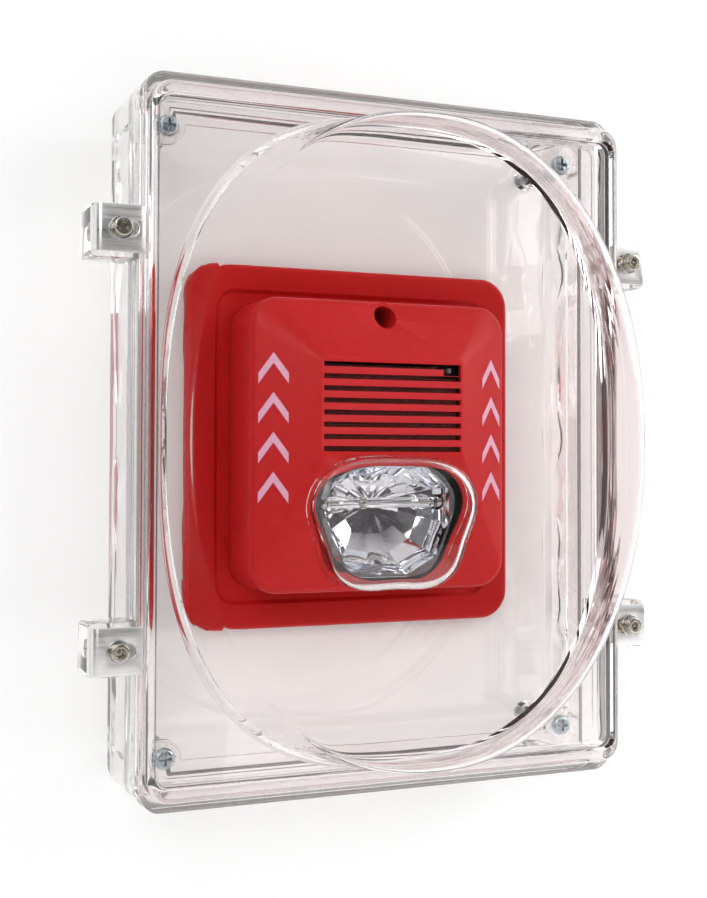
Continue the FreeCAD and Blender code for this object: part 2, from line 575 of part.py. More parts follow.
# ----------------------------------------------- plain marks on side facets
def marks():
    out = []
    th = 0.2
    for s_ in (-1, 1):
        # facet from the outline edge to the raised panel
        xo, yo = HB_W / 2 - 3.2 * (1 - math.cos(math.radians(68.0))), y_out
        xi, yi = PN_X, PN_Y
        d = V(-(xo - xi), yi - yo, 0)          # from the outer edge inwards, for the right side
        L = d.Length
        ux, uy = d.x / L, d.y / L
        nx, ny = -uy, ux                       # outward normal of the right facet
        if ny > 0:
            nx, ny = -nx, -ny
        for k in range(4):
            zc = 28.8 - 15.7 * k
            u0, u1 = 0.9, 12.9
            hgt = 6.2
            sk = 4.2                           # stroke of the chevron, measured along Z
            pts2 = [(u0, zc - hgt), (u0, zc - hgt + sk), ((u0 + u1) / 2, zc + hgt),
                    (u1, zc - hgt + sk), (u1, zc - hgt), ((u0 + u1) / 2, zc + hgt - sk)]
            P = []
            for u, z in pts2:
                x = xo + ux * u + nx * 0.02
                y = yo + uy * u + ny * 0.02
                P.append(V(XB + s_ * x, y, z))
            P.append(P[0])
            fc = Part.Face(Part.makePolygon(P))
            out.append(fc.extrude(V(s_ * nx * th, ny * th, 0)))
    return out


put("side_marks", Part.makeCompound(marks()))

# ------------------------------------------------------------------- export
for name, s in nodes.items():
    ok = s.isValid()
    sol = len(s.Solids)
    bbx = s.optimalBoundingBox(False)
    print("%-26s valid=%s solids=%d vol=%.0f  x %.1f..%.1f y %.1f..%.1f z %.1f..%.1f" % (
        name, ok, sol, s.Volume, bbx.XMin, bbx.XMax, bbx.YMin, bbx.YMax, bbx.ZMin, bbx.ZMax))
    if sol == 1 and s.ShapeType != "Solid":
        s = s.Solids[0]
    s.exportStep("parts/%s.step" % name)
print(len(nodes), "nodes")
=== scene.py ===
import bpy, bmesh, math
import numpy as np
from mathutils import Vector, Matrix


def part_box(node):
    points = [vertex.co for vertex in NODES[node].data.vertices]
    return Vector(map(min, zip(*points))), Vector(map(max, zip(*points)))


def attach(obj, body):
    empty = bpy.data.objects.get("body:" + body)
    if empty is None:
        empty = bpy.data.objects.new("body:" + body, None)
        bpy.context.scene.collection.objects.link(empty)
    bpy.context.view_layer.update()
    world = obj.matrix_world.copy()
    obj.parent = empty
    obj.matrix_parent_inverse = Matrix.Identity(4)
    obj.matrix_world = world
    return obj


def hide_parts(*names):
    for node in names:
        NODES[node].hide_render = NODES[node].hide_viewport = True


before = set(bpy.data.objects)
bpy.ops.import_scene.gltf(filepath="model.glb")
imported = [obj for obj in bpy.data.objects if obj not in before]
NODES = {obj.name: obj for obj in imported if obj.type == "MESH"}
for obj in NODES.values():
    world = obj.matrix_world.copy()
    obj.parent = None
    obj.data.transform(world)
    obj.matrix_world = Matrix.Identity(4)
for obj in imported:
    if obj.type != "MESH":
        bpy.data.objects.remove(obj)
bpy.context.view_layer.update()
MM = 0.001


# ------------------------------------------------------------------ materials
class Mat:
    """A Principled material with noise in its colour, roughness and bump."""

    def __init__(self, name, base, rough=0.5, metal=0.0, spread=0.12, scale=400.0, rough_spread=0.12,
                 bump=0.2, bump_scale=900.0, dist=0.0002, stretch=None, detail=4.0, wear=None, spec=None,
                 bump2=None):
        m = bpy.data.materials.new(name)
        m.use_nodes = True
        nt = m.node_tree
        nt.nodes.clear()
        self.m, self.nt = m, nt
        N, L = nt.nodes, nt.links
        out = N.new("ShaderNodeOutputMaterial")
        bs = N.new("ShaderNodeBsdfPrincipled")
        L.new(bs.outputs["BSDF"], out.inputs["Surface"])
        self.out, self.bs = out, bs
        tc = N.new("ShaderNodeTexCoord")
        mp = N.new("ShaderNodeMapping")
        mp.inputs["Scale"].default_value = stretch or (1, 1, 1)
        L.new(tc.outputs["Object"], mp.inputs["Vector"])
        self.coord = mp.outputs["Vector"]
        n1 = self.noise(scale, detail)
        ramp = N.new("ShaderNodeValToRGB")
        b = Vector(base)
        lo = [max(0.0, c * (1 - spread)) for c in b]
        hi = [min(1.0, c * (1 + spread)) for c in b]
        ramp.color_ramp.elements[0].position = 0.3
        ramp.color_ramp.elements[1].position = 0.7
        ramp.color_ramp.elements[0].color = (*lo, 1)
        ramp.color_ramp.elements[1].color = (*hi, 1)
        L.new(n1, ramp.inputs["Fac"])
        col = ramp.outputs["Color"]
        if wear:
            # lighter or darker rubbed edges, from the surface's own shape
            geo = N.new("ShaderNodeNewGeometry")
            wr = N.new("ShaderNodeValToRGB")
            wr.color_ramp.elements[0].position = 0.53
            wr.color_ramp.elements[1].position = 0.62
            L.new(geo.outputs["Pointiness"], wr.inputs["Fac"])
            mix = N.new("ShaderNodeMix")
            mix.data_type = "RGBA"
            L.new(wr.outputs["Color"], mix.inputs[0])
            L.new(col, mix.inputs[6])
            mix.inputs[7].default_value = (*wear, 1)
            col = mix.outputs[2]
        L.new(col, bs.inputs["Base Color"])
        n2 = self.noise(scale * 0.6, 3.0, 0.55)
        mr = N.new("ShaderNodeMapRange")
        mr.inputs["From Min"].default_value = 0.3
        mr.inputs["From Max"].default_value = 0.7
        mr.inputs["To Min"].default_value = max(0.02, rough * (1 - rough_spread))
        mr.inputs["To Max"].default_value = min(1.0, rough * (1 + rough_spread))
        L.new(n2, mr.inputs["Value"])
        L.new(mr.outputs["Result"], bs.inputs["Roughness"])
        bs.inputs["Metallic"].default_value = metal
        if spec is not None:
            bs.inputs["Specular IOR Level"].default_value = spec
        if bump:
            n3 = self.noise(bump_scale, 3.0, 0.5)
            bp = N.new("ShaderNodeBump")
            bp.inputs["Strength"].default_value = bump
            bp.inputs["Distance"].default_value = dist
            L.new(n3, bp.inputs["Height"])
            L.new(bp.outputs["Normal"], bs.inputs["Normal"])
            self.bump = bp

    def noise(self, scale, detail=3.0, rough=0.5):
        n = self.nt.nodes.new("ShaderNodeTexNoise")
        n.inputs["Scale"].default_value = scale
        n.inputs["Detail"].default_value = detail
        n.inputs["Roughness"].default_value = rough
        self.nt.links.new(self.coord, n.inputs["Vector"])
        return n.outputs["Fac"]


def glass(name, ior=1.585, rough=0.0, tint=(0.985, 0.982, 0.975), haze=0.02, bump=0.03, bump_scale=60.0, edge=None):
    """Clear plastic: refracts what is seen through it, and lets lamp light through."""
    k = Mat(name, tint, rough=max(rough, 0.02), spread=0.012, scale=30.0, rough_spread=0.6, bump=bump,
            bump_scale=bump_scale, dist=0.0004)
    m, nt, bs = k.m, k.nt, k.bs
    N, L = nt.nodes, nt.links
    bs.inputs["Transmission Weight"].default_value = 1.0
    bs.inputs["IOR"].default_value = ior
    lp = N.new("ShaderNodeLightPath")
    tr = N.new("ShaderNodeBsdfTransparent")
    tr.inputs["Color"].default_value = (0.965, 0.965, 0.96, 1)
    mx = N.new("ShaderNodeMath")
    mx.operation = "MAXIMUM"
    L.new(lp.outputs["Is Shadow Ray"], mx.inputs[0])
    L.new(lp.outputs["Is Diffuse Ray"], mx.inputs[1])
    mix = N.new("ShaderNodeMixShader")
    L.new(mx.outputs[0], mix.inputs[0])
    L.new(bs.outputs["BSDF"], mix.inputs[1])
    L.new(tr.outputs["BSDF"], mix.inputs[2])
    L.new(mix.outputs[0], k.out.inputs["Surface"])
    return m


M = {}
# the pinkish grey tints of the clear plastics are partly the plastic's own absorption and partly painted shade,
# darkening what is seen inside to stand for the shadows on the wall behind
M["clear"] = glass("clear_polycarbonate", rough=0.02, bump=0.012, bump_scale=38.0, tint=(0.972, 0.938, 0.938))
M["clear_drawn"] = glass("clear_polycarbonate_drawn", ior=1.12, rough=0.02, bump=0.012, bump_scale=38.0, tint=(0.96, 0.925, 0.925))
# the refraction of the drawn wall is weakened towards its left side, which is a choice of look
_m = M["clear_drawn"]
_nt = _m.node_tree
_tc = _nt.nodes.new("ShaderNodeTexCoord")
_sx = _nt.nodes.new("ShaderNodeSeparateXYZ")
_mr = _nt.nodes.new("ShaderNodeMapRange")
_mr.interpolation_type = "SMOOTHSTEP"
_mr.inputs["From Min"].default_value = -0.055
_mr.inputs["From Max"].default_value = 0.045
_mr.inputs["To Min"].default_value = 1.035
_mr.inputs["To Max"].default_value = 1.26
_nt.links.new(_tc.outputs["Object"], _sx.inputs[0])
_nt.links.new(_sx.outputs["X"], _mr.inputs["Value"])
for _n in _nt.nodes:
    if _n.type == "BSDF_PRINCIPLED":
        _nt.links.new(_mr.outputs["Result"], _n.inputs["IOR"])
M["clear_frame"] = glass("clear_polycarbonate_moulded", rough=0.03, bump=0.022, bump_scale=70.0, tint=(0.965, 0.945, 0.943))
M["clear_lens"] = glass("clear_lens", ior=1.57, rough=0.02, tint=(0.99, 0.99, 0.985), bump=0.03, bump_scale=90.0)
M["tube"] = glass("tube_glass", ior=1.47, rough=0.02, tint=(0.97, 0.985, 0.98), bump=0.02, bump_scale=200.0)
M["silicone"] = Mat("silicone_gasket", (0.33, 0.34, 0.33), rough=0.45, spread=0.1, scale=500, bump=0.15, bump_scale=2500).m
M["rubber_seal"] = Mat("seal_rubber", (0.035, 0.04, 0.04), rough=0.5, spread=0.25, scale=700, bump=0.2, bump_scale=2500).m
M["rubber"] = Mat("black_rubber", (0.018, 0.018, 0.018), rough=0.6, spread=0.3, scale=600, bump=0.25, bump_scale=1800).m
M["red_paint"] = Mat("red_powder_coat", (0.49, 0.013, 0.013), rough=0.4, spread=0.05, scale=220, rough_spread=0.18,
                     bump=0.22, bump_scale=1300, dist=0.00012, wear=(0.56, 0.025, 0.025), spec=0.12).m
M["red_plastic"] = Mat("red_moulded_plastic", (0.52, 0.015, 0.016), rough=0.38, spread=0.05, scale=260, rough_spread=0.2,
                       bump=0.3, bump_scale=1900, dist=0.0001, wear=(0.58, 0.03, 0.035), spec=0.15).m
M["black_plastic"] = Mat("black_moulded_plastic", (0.014, 0.014, 0.015), rough=0.42, spread=0.25, scale=400, bump=0.25, bump_scale=1600).m
M["grey_plastic"] = Mat("grey_moulded_plastic", (0.17, 0.17, 0.175), rough=0.45, spread=0.1, scale=400, bump=0.2, bump_scale=1600).m
M["green_plastic"] = Mat("green_terminal_plastic", (0.02, 0.17, 0.06), rough=0.4, spread=0.12, scale=400, bump=0.2, bump_scale=1400).m
M["steel_brushed"] = Mat("brushed_stainless", (0.80, 0.785, 0.775), rough=0.36, metal=1.0, spread=0.05, scale=300,
                         stretch=(0.1, 1, 5), rough_spread=0.25, bump=0.035, bump_scale=1200, dist=0.00004).m
M["stainless"] = Mat("screw_stainless", (0.56, 0.55, 0.53), rough=0.2, metal=1.0, spread=0.1, scale=900, rough_spread=0.4,
                     bump=0.08, bump_scale=2200, dist=0.00005).m
M["screw_dark"] = Mat("dark_steel", (0.50, 0.46, 0.40), rough=0.26, metal=1.0, spread=0.25, scale=1200, rough_spread=0.4,
                      bump=0.1, bump_scale=2600, dist=0.00005).m
M["zinc"] = Mat("zinc_plate", (0.42, 0.50, 0.53), rough=0.26, metal=1.0, spread=0.2, scale=700, rough_spread=0.5,
                bump=0.08, bump_scale=2000, dist=0.00006).m
M["brass"] = Mat("turned_brass", (0.62, 0.46, 0.20), rough=0.25, metal=1.0, spread=0.12, scale=700, rough_spread=0.4,
                 bump=0.08, bump_scale=2500, dist=0.00005).m
M["chrome"] = Mat("vacuum_chrome", (0.80, 0.83, 0.87), rough=0.05, metal=1.0, spread=0.03, scale=160, rough_spread=0.5,
                  bump=0.035, bump_scale=420, dist=0.0002).m
M["nickel"] = Mat("nickel", (0.58, 0.56, 0.51), rough=0.22, metal=1.0, spread=0.1, scale=800, rough_spread=0.4,
                  bump=0.06, bump_scale=2400, dist=0.00005).m
M["board"] = Mat("circuit_board_green", (0.012, 0.085, 0.035), rough=0.4, spread=0.45, scale=180, bump=0.3, bump_scale=500,
                 dist=0.0001, detail=1.0).m
M["sleeve"] = Mat("capacitor_sleeve", (0.016, 0.018, 0.035), rough=0.3, spread=0.2, scale=500, bump=0.1, bump_scale=1500).m
M["coil"] = Mat("copper_coil", (0.55, 0.22, 0.10), rough=0.3, metal=1.0, spread=0.2, scale=300, stretch=(1, 14, 1),
                bump=0.5, bump_scale=500, dist=0.0002).m
M["cloth"] = Mat("dark_mesh_wire", (0.13, 0.014, 0.011), rough=0.6, spread=0.3, scale=900, bump=0.2, bump_scale=3000).m
# painted shade: the sounder disc is coloured near-black so the grille slots in front of it read dark, standing in for
# the shade inside them
M["disc"] = Mat("sounder_disc_painted_slot_shade", (0.05, 0.045, 0.035), rough=0.4, metal=0.6, spread=0.2, scale=500, bump=0.1, bump_scale=1800).m
M["marks"] = Mat("pale_printed_marks", (0.74, 0.38, 0.52), rough=0.45, spread=0.07, scale=900, bump=0.12, bump_scale=2200,
                 dist=0.00006).m


def assign(node, mat):
    o = NODES[node]
    o.data.materials.clear()
    o.data.materials.append(M[mat])


# ------------------------------------------------------------------ mesh tools
def link(me, name, mats):
    o = bpy.data.objects.new(name, me)
    bpy.context.scene.collection.objects.link(o)
    for m in mats if isinstance(mats, (list, tuple)) else [mats]:
        me.materials.append(M[m])
    return o


def shade(me, angle=30.0):
    """Smooth, with edges sharper than the angle kept sharp."""
    bm = bmesh.new()
    bm.from_mesh(me)
    lim = math.radians(angle)
    for f in bm.faces:
        f.smooth = True
    for e in bm.edges:
        if len(e.link_faces) == 2:
            e.smooth = e.calc_face_angle(0.0) < lim
        else:
            e.smooth = False
    bm.to_mesh(me)
    bm.free()


def clean_copy(node):
    bm = bmesh.new()
    bm.from_mesh(NODES[node].data)
    bmesh.ops.remove_doubles(bm, verts=bm.verts, dist=2e-6)
    bmesh.ops.dissolve_degenerate(bm, dist=1e-6, edges=bm.edges)
    return bm


def refine(node, name, mat, body="base", bevel=0.25, limit=38.0, segs=2, angle=32.0):
    """A copy of a node's own surface with its sharp edges broken, as on the moulded or pressed piece."""
    bm = clean_copy(node)
    bmesh.ops.dissolve_limit(bm, angle_limit=math.radians(0.6), verts=bm.verts, edges=bm.edges)
    me = bpy.data.meshes.new(name)
    bm.to_mesh(me)
    bm.free()
    o = link(me, name, mat)
    if bevel:
        b = o.modifiers.new("edges", "BEVEL")
        b.width = bevel * MM
        b.segments = segs
        b.limit_method = "ANGLE"
        b.angle_limit = math.radians(limit)
        b.use_clamp_overlap = True
        b.harden_normals = False
        t = o.modifiers.new("tri", "TRIANGULATE")
        t.min_vertices = 5
        dg = bpy.context.evaluated_depsgraph_get()
        new = bpy.data.meshes.new_from_object(o.evaluated_get(dg))
        o.modifiers.clear()
        o.data = new
    shade(o.data, angle)
    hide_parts(node)
    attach(o, body)
    return o


def ring_mesh(name, rings, mats, angle=32.0, caps=True, close=False):
    """rings: arrays of (n, 3) points with matching order. Ends are closed with a fan on a centre point."""
    n = len(rings[0])
    verts = np.concatenate(rings).tolist()
    faces = []
    R = len(rings)
    for i in range(R - 1 + (1 if close else 0)):
        a, b = i * n, ((i + 1) % R) * n
        for j in range(n):
            k = (j + 1) % n
            faces.append((a + j, a + k, b + k, b + j))
    if caps and not close:
        for idx, flip in ((0, False), (R - 1, True)):
            c = np.mean(rings[idx], axis=0)
            verts.append(c.tolist())
            ci = len(verts) - 1
            a = idx * n
            for j in range(n):
                k = (j + 1) % n
                faces.append((ci, a + k, a + j) if not flip else (ci, a + j, a + k))
    me = bpy.data.meshes.new(name)
    me.from_pydata(verts, [], faces)
    bm = bmesh.new()
    bm.from_mesh(me)
    bmesh.ops.recalc_face_normals(bm, faces=bm.faces)
    if bm.calc_volume(signed=True) < 0:
        bmesh.ops.reverse_faces(bm, faces=bm.faces)
    bm.to_mesh(me)
    bm.free()
    shade(me, angle)
    return link(me, name, mats)


def done(o, body, slot, *nodes):
    for nd in nodes:
        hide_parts(nd)
    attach(o, body)
    return o


# ------------------------------------------------------------- the clear cover
def angles():
    """Polar angles, close together round the corners of the outline."""
    q = list(np.linspace(0, 50.2, 60, endpoint=False)) + list(np.linspace(50.2, 56.4, 30, endpoint=False)) + \
        list(np.linspace(56.4, 90, 42, endpoint=False))
    q = np.array(q)
    a = np.concatenate([q, 180 - q[::-1], 180 + q, 360 - q[::-1]])
    a = np.unique(np.round(np.mod(a, 360.0), 6))
    return np.radians(a)


TH = angles()
CT, ST = np.cos(TH), np.sin(TH)


def rr_r(w, h, r):
    """Polar radius of a rounded rectangle with half sizes w, h."""
    out = np.zeros_like(TH)
    for i, (c, s) in enumerate(zip(abs(CT), abs(ST))):
        t = min(w / max(c, 1e-9), h / max(s, 1e-9))
        x, z = t * c, t * s
        if x > w - r and z > h - r:
            cx, cz = w - r, h - r
            b = c * cx + s * cz
            t = b + math.sqrt(max(b * b - (cx * cx + cz * cz - r * r), 0))
        out[i] = t
    return out


def se_r(a, b, n):
    return (np.abs(CT / a) ** n + np.abs(ST / b) ** n) ** (-1.0 / n)


def ring(rad, y):
    return np.stack([rad * CT, np.full_like(rad, y), rad * ST], axis=1) * MM


SEC = np.array([(-57.0, 98, 127.6, 2.62), (-57.9, 97.1, 126.7, 2.60), (-58.9, 96.5, 126.1, 2.57), (-60.4, 96.1, 125.7, 2.54),
                (-64, 95.7, 125.3, 2.46), (-72, 95.1, 124.7, 2.32), (-80, 94.6, 124.2, 2.22), (-85.5, 94.2, 123.8, 2.17)])


def sec(y):
    ys = -SEC[:, 0]
    return [float(np.interp(-y, ys, SEC[:, k])) for k in (1, 2, 3)]


T = 1.4      # wall of the dome


def make_cover():
    R = []
    # flat front, from its centre out
    for k in (0.03, 0.12, 0.24, 0.36, 0.48, 0.6, 0.7, 0.8, 0.88, 0.94, 0.98):
        R.append(ring(se_r(86.2, 115.8, 2.11) * k, -93.5 + 0.0))
    for t in np.linspace(90, 0, 15):
        t = math.radians(t)
        R.append(ring(se_r(94.2 - 8 * (1 - math.cos(t)), 123.8 - 8 * (1 - math.cos(t)), 2.17 - 0.01 * math.degrees(t) / 15),
                      -85.5 - 8 * math.sin(t)))
    for y in (-83.5, -81, -78, -75, -72, -69, -66.5, -64, -62, -61, -60.4, -59.6, -58.9, -58.4, -57.9, -57.62):
        a, b, n = sec(y)
        R.append(ring(se_r(a, b, n), y))
    # recessed face, its sloped edge and the step
    R.append(ring(rr_r(97.56, 127.06, 5.2), -57.6))
    R.append(ring(rr_r(97.75, 127.25, 5.3), -57.75))
    R.append(ring(rr_r(98.25, 127.75, 5.75), -59.6))
    R.append(ring(rr_r(98.45, 127.95, 5.9), -59.93))
    R.append(ring(rr_r(98.75, 128.3, 6.1), -60.0))
    for t in np.linspace(0, 90, 9):
        t = math.radians(t)
        d = 2.4 * (1 - math.sin(t))
        R.append(ring(rr_r(101 - d, 133 - d, 8.5 - d), -60.0 + 2.4 * (1 - math.cos(t))))
    R.append(ring(rr_r(101, 133, 8.5), -54.5))
    R.append(ring(rr_r(101, 133, 8.5), -51.9))
    R.append(ring(rr_r(101.02, 133.3, 8.3), -51.52))
    for t in (6, 16, 28, 40, 52, 64, 76, 90):
        t = math.radians(t)
        d = 1.6 * (1 - math.sin(t))
        R.append(ring(rr_r(102.5 - d, 138.25 - d, 9.0 - d), -51.5 + 1.6 * (1 - math.cos(t))))
    R.append(ring(rr_r(102.5, 138.25, 9.0), -48.2))
    R.append(ring(rr_r(102.5, 138.25, 9.0), -46.6))
    R.append(ring(rr_r(102.2, 137.95, 8.7), -46.3))
    R.append(ring(rr_r(99.55, 129.4, 6.9), -46.3))
    R.append(ring(rr_r(99.25, 129.1, 6.6), -46.6))
    R.append(ring(rr_r(99.25, 129.1, 6.6), -50.5))
    R.append(ring(rr_r(99.25, 129.1, 6.6), -54.7))
    R.append(ring(rr_r(98.95, 128.8, 6.3), -55.0))
    R.append(ring(rr_r(97.4, 127.2, 5.4), -55.0))
    # inside of the dome; the wall is drawn, so its thickness wanders a little on the right side
    R.append(ring(se_r(98.0 - T - 0.7, 127.6 - T - 0.7, 2.62), -55.05))
    R.append(ring(se_r(98.0 - T - 1.2, 127.6 - T - 1.2, 2.61), -55.5))

    def wave(y, amp):
        u = -y
        ph = 0.9 * np.sin(3 * TH + 0.7) + 0.6 * np.sin(7 * TH + 2.1)
        w = np.sin(2 * math.pi * u / 5.3 + ph) * 0.55 + np.sin(2 * math.pi * u / 8.9 - 1.3 * ph + 1.0) * 0.6 + \
            0.30 * np.sin(2 * math.pi * u / 3.4 + 2 * ph)
        # the side away from the mould's gate is even
        side = 0.12 + 0.88 * np.clip((CT + 0.25) / 0.9, 0, 1) ** 1.5
        return amp * w * side

    for y in np.linspace(-57.0, -85.5, 42):
        a, b, n = sec(min(y, -60.4))
        f = max(0.0, min(1.0, (-y - 57.0) / 5.0, (86.5 + y) / 3.0))
        off = -T - (0.4 * max(0.0, (y + 60.4) / 3.4))
        R.append(ring(se_r(a + off, b + off, n) + wave(y, 0.10 * f), y))
    ri = 8.0 - T
    for t in np.linspace(8, 90, 12):
        t = math.radians(t)
        R.append(ring(se_r(94.2 - T - ri * (1 - math.cos(t)), 123.8 - T - ri * (1 - math.cos(t)),
                           2.17 - 0.01 * math.degrees(t) / 15), -85.5 - ri * math.sin(t)))
    for k in (0.985, 0.95, 0.9, 0.82, 0.72, 0.6, 0.48, 0.36, 0.24, 0.12, 0.03):
        rad = se_r(86.2, 115.8, 2.11) * k
        R.append(ring(rad, -93.5 + T))
    o = ring_mesh("clear_cover", R, ["clear", "clear_drawn"], angle=30.0)
    # the drawn dome is softer in its refraction than the thick moulded rim around it
    for f in o.data.polygons:
        c = f.center / MM
        k = (abs(c.x) / 97.2) ** 2.6 + (abs(c.z) / 126.8) ** 2.6
        if (c.y < (-57.3 if c.x > 0 else -58.7) and k < 1.0) or c.y < -60.3:
            f.material_index = 1
    done(o, "cover", "clear", "dome_cover")
    return o


make_cover()

# box and frame: the node's own surfaces with broken edges
box_obj = refine("back_box", "clear_box", "clear_frame", bevel=0.35, segs=3)


def wander(o, zs):
    """The drawn side walls wander a little along their length, as on the real moulding."""
    bm = bmesh.new()
    bm.from_mesh(o.data)
    for z in zs:
        g = bm.verts[:] + bm.edges[:] + bm.faces[:]
        bmesh.ops.bisect_plane(bm, geom=g, plane_co=(0, 0, z * MM), plane_no=(0, 0, 1), dist=1e-7)
    for v in bm.verts:
        x, y, z = v.co / MM
        if 97.5 < abs(x) < 99.6 and -29.2 < y < -2.7 and abs(z) < 112:
            f = min(1.0, (112 - abs(z)) / 12.0)
            d = 0.55 * math.sin(z / 11.0 + 0.6 + y * 0.11) + 0.4 * math.sin(z / 6.1 + 1.9 - y * 0.07)
            v.co.x -= math.copysign(1.0, x) * MM * 1.2 * f * (0.95 + d)
    bm.to_mesh(o.data)
    bm.free()
    shade(o.data, 32.0)


wander(box_obj, np.arange(-110, 110.1, 4.0))
refine("mount_frame", "clear_frame", "clear_frame", bevel=0.3, segs=2)


# ------------------------------------------------------------------ fasteners
def lathe_fn(name, prof, cx, cz, mats, n=96, angle=32.0):
    """prof: list of (y, radius or function of the angle array), from one end to the other, in mm."""
    th = np.linspace(0, 2 * math.pi, n, endpoint=False)
    rings = []
    for y, r in prof:
        rr_ = r(th) if callable(r) else np.full(n, float(r))
        yy = y(th) if callable(y) else np.full(n, float(y))
        rings.append(np.stack([cx + rr_ * np.cos(th), yy, cz + rr_ * np.sin(th)], axis=1) * MM)
    return ring_mesh(name, rings, mats, angle=angle)


def cross(L, w, rc=0.0):
    def f(th):
        c, s = np.abs(np.cos(th)), np.abs(np.sin(th))
        r1 = np.minimum(L / np.maximum(c, 1e-6), w / np.maximum(s, 1e-6))
        r2 = np.minimum(w / np.maximum(c, 1e-6), L / np.maximum(s, 1e-6))
        return np.maximum(r1, r2)
    return f


def hexagon(R0):
    def f(th):
        a = np.mod(th, math.pi / 3) - math.pi / 6
        return R0 * math.cos(math.pi / 6) / np.cos(a)
    return f


def thread(y0, y1, root, crest, pitch, per=7, taper=None):
    """Rings of a cut thread: the radius follows a helix."""
    out = []
    m = int(abs(y1 - y0) / pitch * per)
    sgn = 1 if y1 > y0 else -1
    for i in range(m + 1):
        y = y0 + sgn * abs(y1 - y0) * i / m
        edge = min(1.0, i / per, (m - i) / per)
        rc = crest if taper is None else min(crest, taper(y))

        def f(th, y=y, edge=edge, rc=rc):
            ph = np.mod(y / pitch - th / (2 * math.pi), 1.0)
            tri = np.clip(1.35 - 2.7 * np.abs(ph - 0.5) * 1.6, 0, 1)
            rt = min(root, rc)
            base = rt + (rc - rt) * tri
            return base * 1.0 if edge >= 1 else (rt + (base - rt) * edge)
        out.append((y, f))
    return out


def join(objs, name):
    bm = bmesh.new()
    for o in objs:
        bm.from_mesh(o.data)
    me = bpy.data.meshes.new(name)
    bm.to_mesh(me)
    bm.free()
    mats = [m for m in objs[0].data.materials]
    for o in objs:
        bpy.data.objects.remove(o)
    ob = bpy.data.objects.new(name, me)
    bpy.context.scene.collection.objects.link(ob)
    for m in mats:
        me.materials.append(m)
    shade(me, 32)
    return ob


def pan_screw(name, cx, cz, seat, tip_fn, r=4.2, h=2.9, mat="zinc", rec=(2.6, 0.58)):
    L, w = rec
    th = None
    prof = [(seat - h + h * 0.72, cross(L * 0.55, w * 0.6)), (seat - h + h * 0.70, cross(L * 0.62, w * 0.7)),
            (seat - h + h * 0.30, cross(L * 0.86, w * 0.95)), (seat - h + 0.10, cross(L, w * 1.05)),
            (seat - h + 0.02, cross(L * 1.06, w * 1.25))]
    prof += [(seat - h * 0.985, r * 0.70), (seat - h * 0.93, r * 0.79), (seat - h * 0.82, r * 0.885), (seat - h * 0.66, r * 0.955),
             (seat - h * 0.42, r * 0.995), (seat - h * 0.16, r), (seat - 0.08, r * 0.99), (seat, r * 0.965)]
    prof += tip_fn
    return lathe_fn(name, prof, cx, cz, mat)


ws = []
for sx in (-1, 1):
    for sz in (-1, 1):
        seat = -32.0
        tail = [(seat, 1.92), (seat + 0.2, 1.9), (-20.0, 1.9), (-0.4, 1.9), (0.05, 1.75)]
        tail += thread(0.3, 13.6, 1.45, 2.1, 1.75)
        tail += thread(13.8, 19.6, 0.28, 2.1, 1.75, taper=lambda y: 2.1 - (y - 14.0) * 0.29)
        tail += [(19.95, 0.2)]
        ws.append(pan_screw("w%d%d" % (sx, sz), sx * 88.0, sz * 121.7, seat, tail))
done(join(ws, "corner_wall_screws"), "base", "zinc", "wall_screws")

hs = pan_screw("housing_fixing_screw", 2.1, 50.9, -15.4,
               [(-15.4, 1.5), (-15.1, 1.45)] + thread(-14.9, -8.5, 1.15, 1.48, 0.9) + [(-8.25, 0.9)],
               r=3.4, h=2.3, mat="screw_dark", rec=(2.1, 0.48))
done(hs, "base", "screw_steel", "housing_screw")

for q, (sx, sz) in {"top_left": (-1, 1), "top_right": (1, 1), "bottom_left": (-1, -1), "bottom_right": (1, -1)}.items():
    cx, cz = sx * 110.5, sz * 77.5
    h0 = -54.05
    top = h0 - 3.4
    hx = 1.75
    prof = [(h0 - 2.62, 0.28), (h0 - 2.6, 0.50), (h0 - 2.52, 0.55), (h0 - 1.05, 0.55), (h0 - 1.0, hexagon(1.62)),
            (h0 - 1.2, hexagon(hx)), (top + 0.28, hexagon(hx)), (top + 0.02, hexagon(hx * 1.12)),
            (top, 2.35), (top, 2.95), (top + 0.09, 3.25), (top + 0.30, 3.46), (top + 0.62, 3.55)]

    def knurl(a):
        return lambda th: 3.50 + a * np.abs(np.sin(th * 18))
    prof += [(top + 0.95, knurl(0.05)), (h0 - 0.7, knurl(0.05)), (h0 - 0.35, 3.5), (h0 - 0.05, 3.42), (h0, 3.3)]
    prof += [(h0, 2.1), (h0 + 0.2, 2.06)] + thread(h0 + 1.2, -38.2, 1.72, 2.1, 0.8, per=6) + [(-37.8, 1.7), (-37.05, 1.3)]
    s = lathe_fn("hex_screw_" + q, prof, cx, cz, "screw_dark", n=72)
    done(s, "screw_" + q, "screw_steel", "clip_screw_" + q)
    refine("washer_" + q, "plain_washer_" + q, "stainless", body="screw_" + q, bevel=0.08, segs=2)
    refine("clip_" + q, "retaining_clip_" + q, "steel_brushed", body="clip_" + q, bevel=0.22, segs=3)

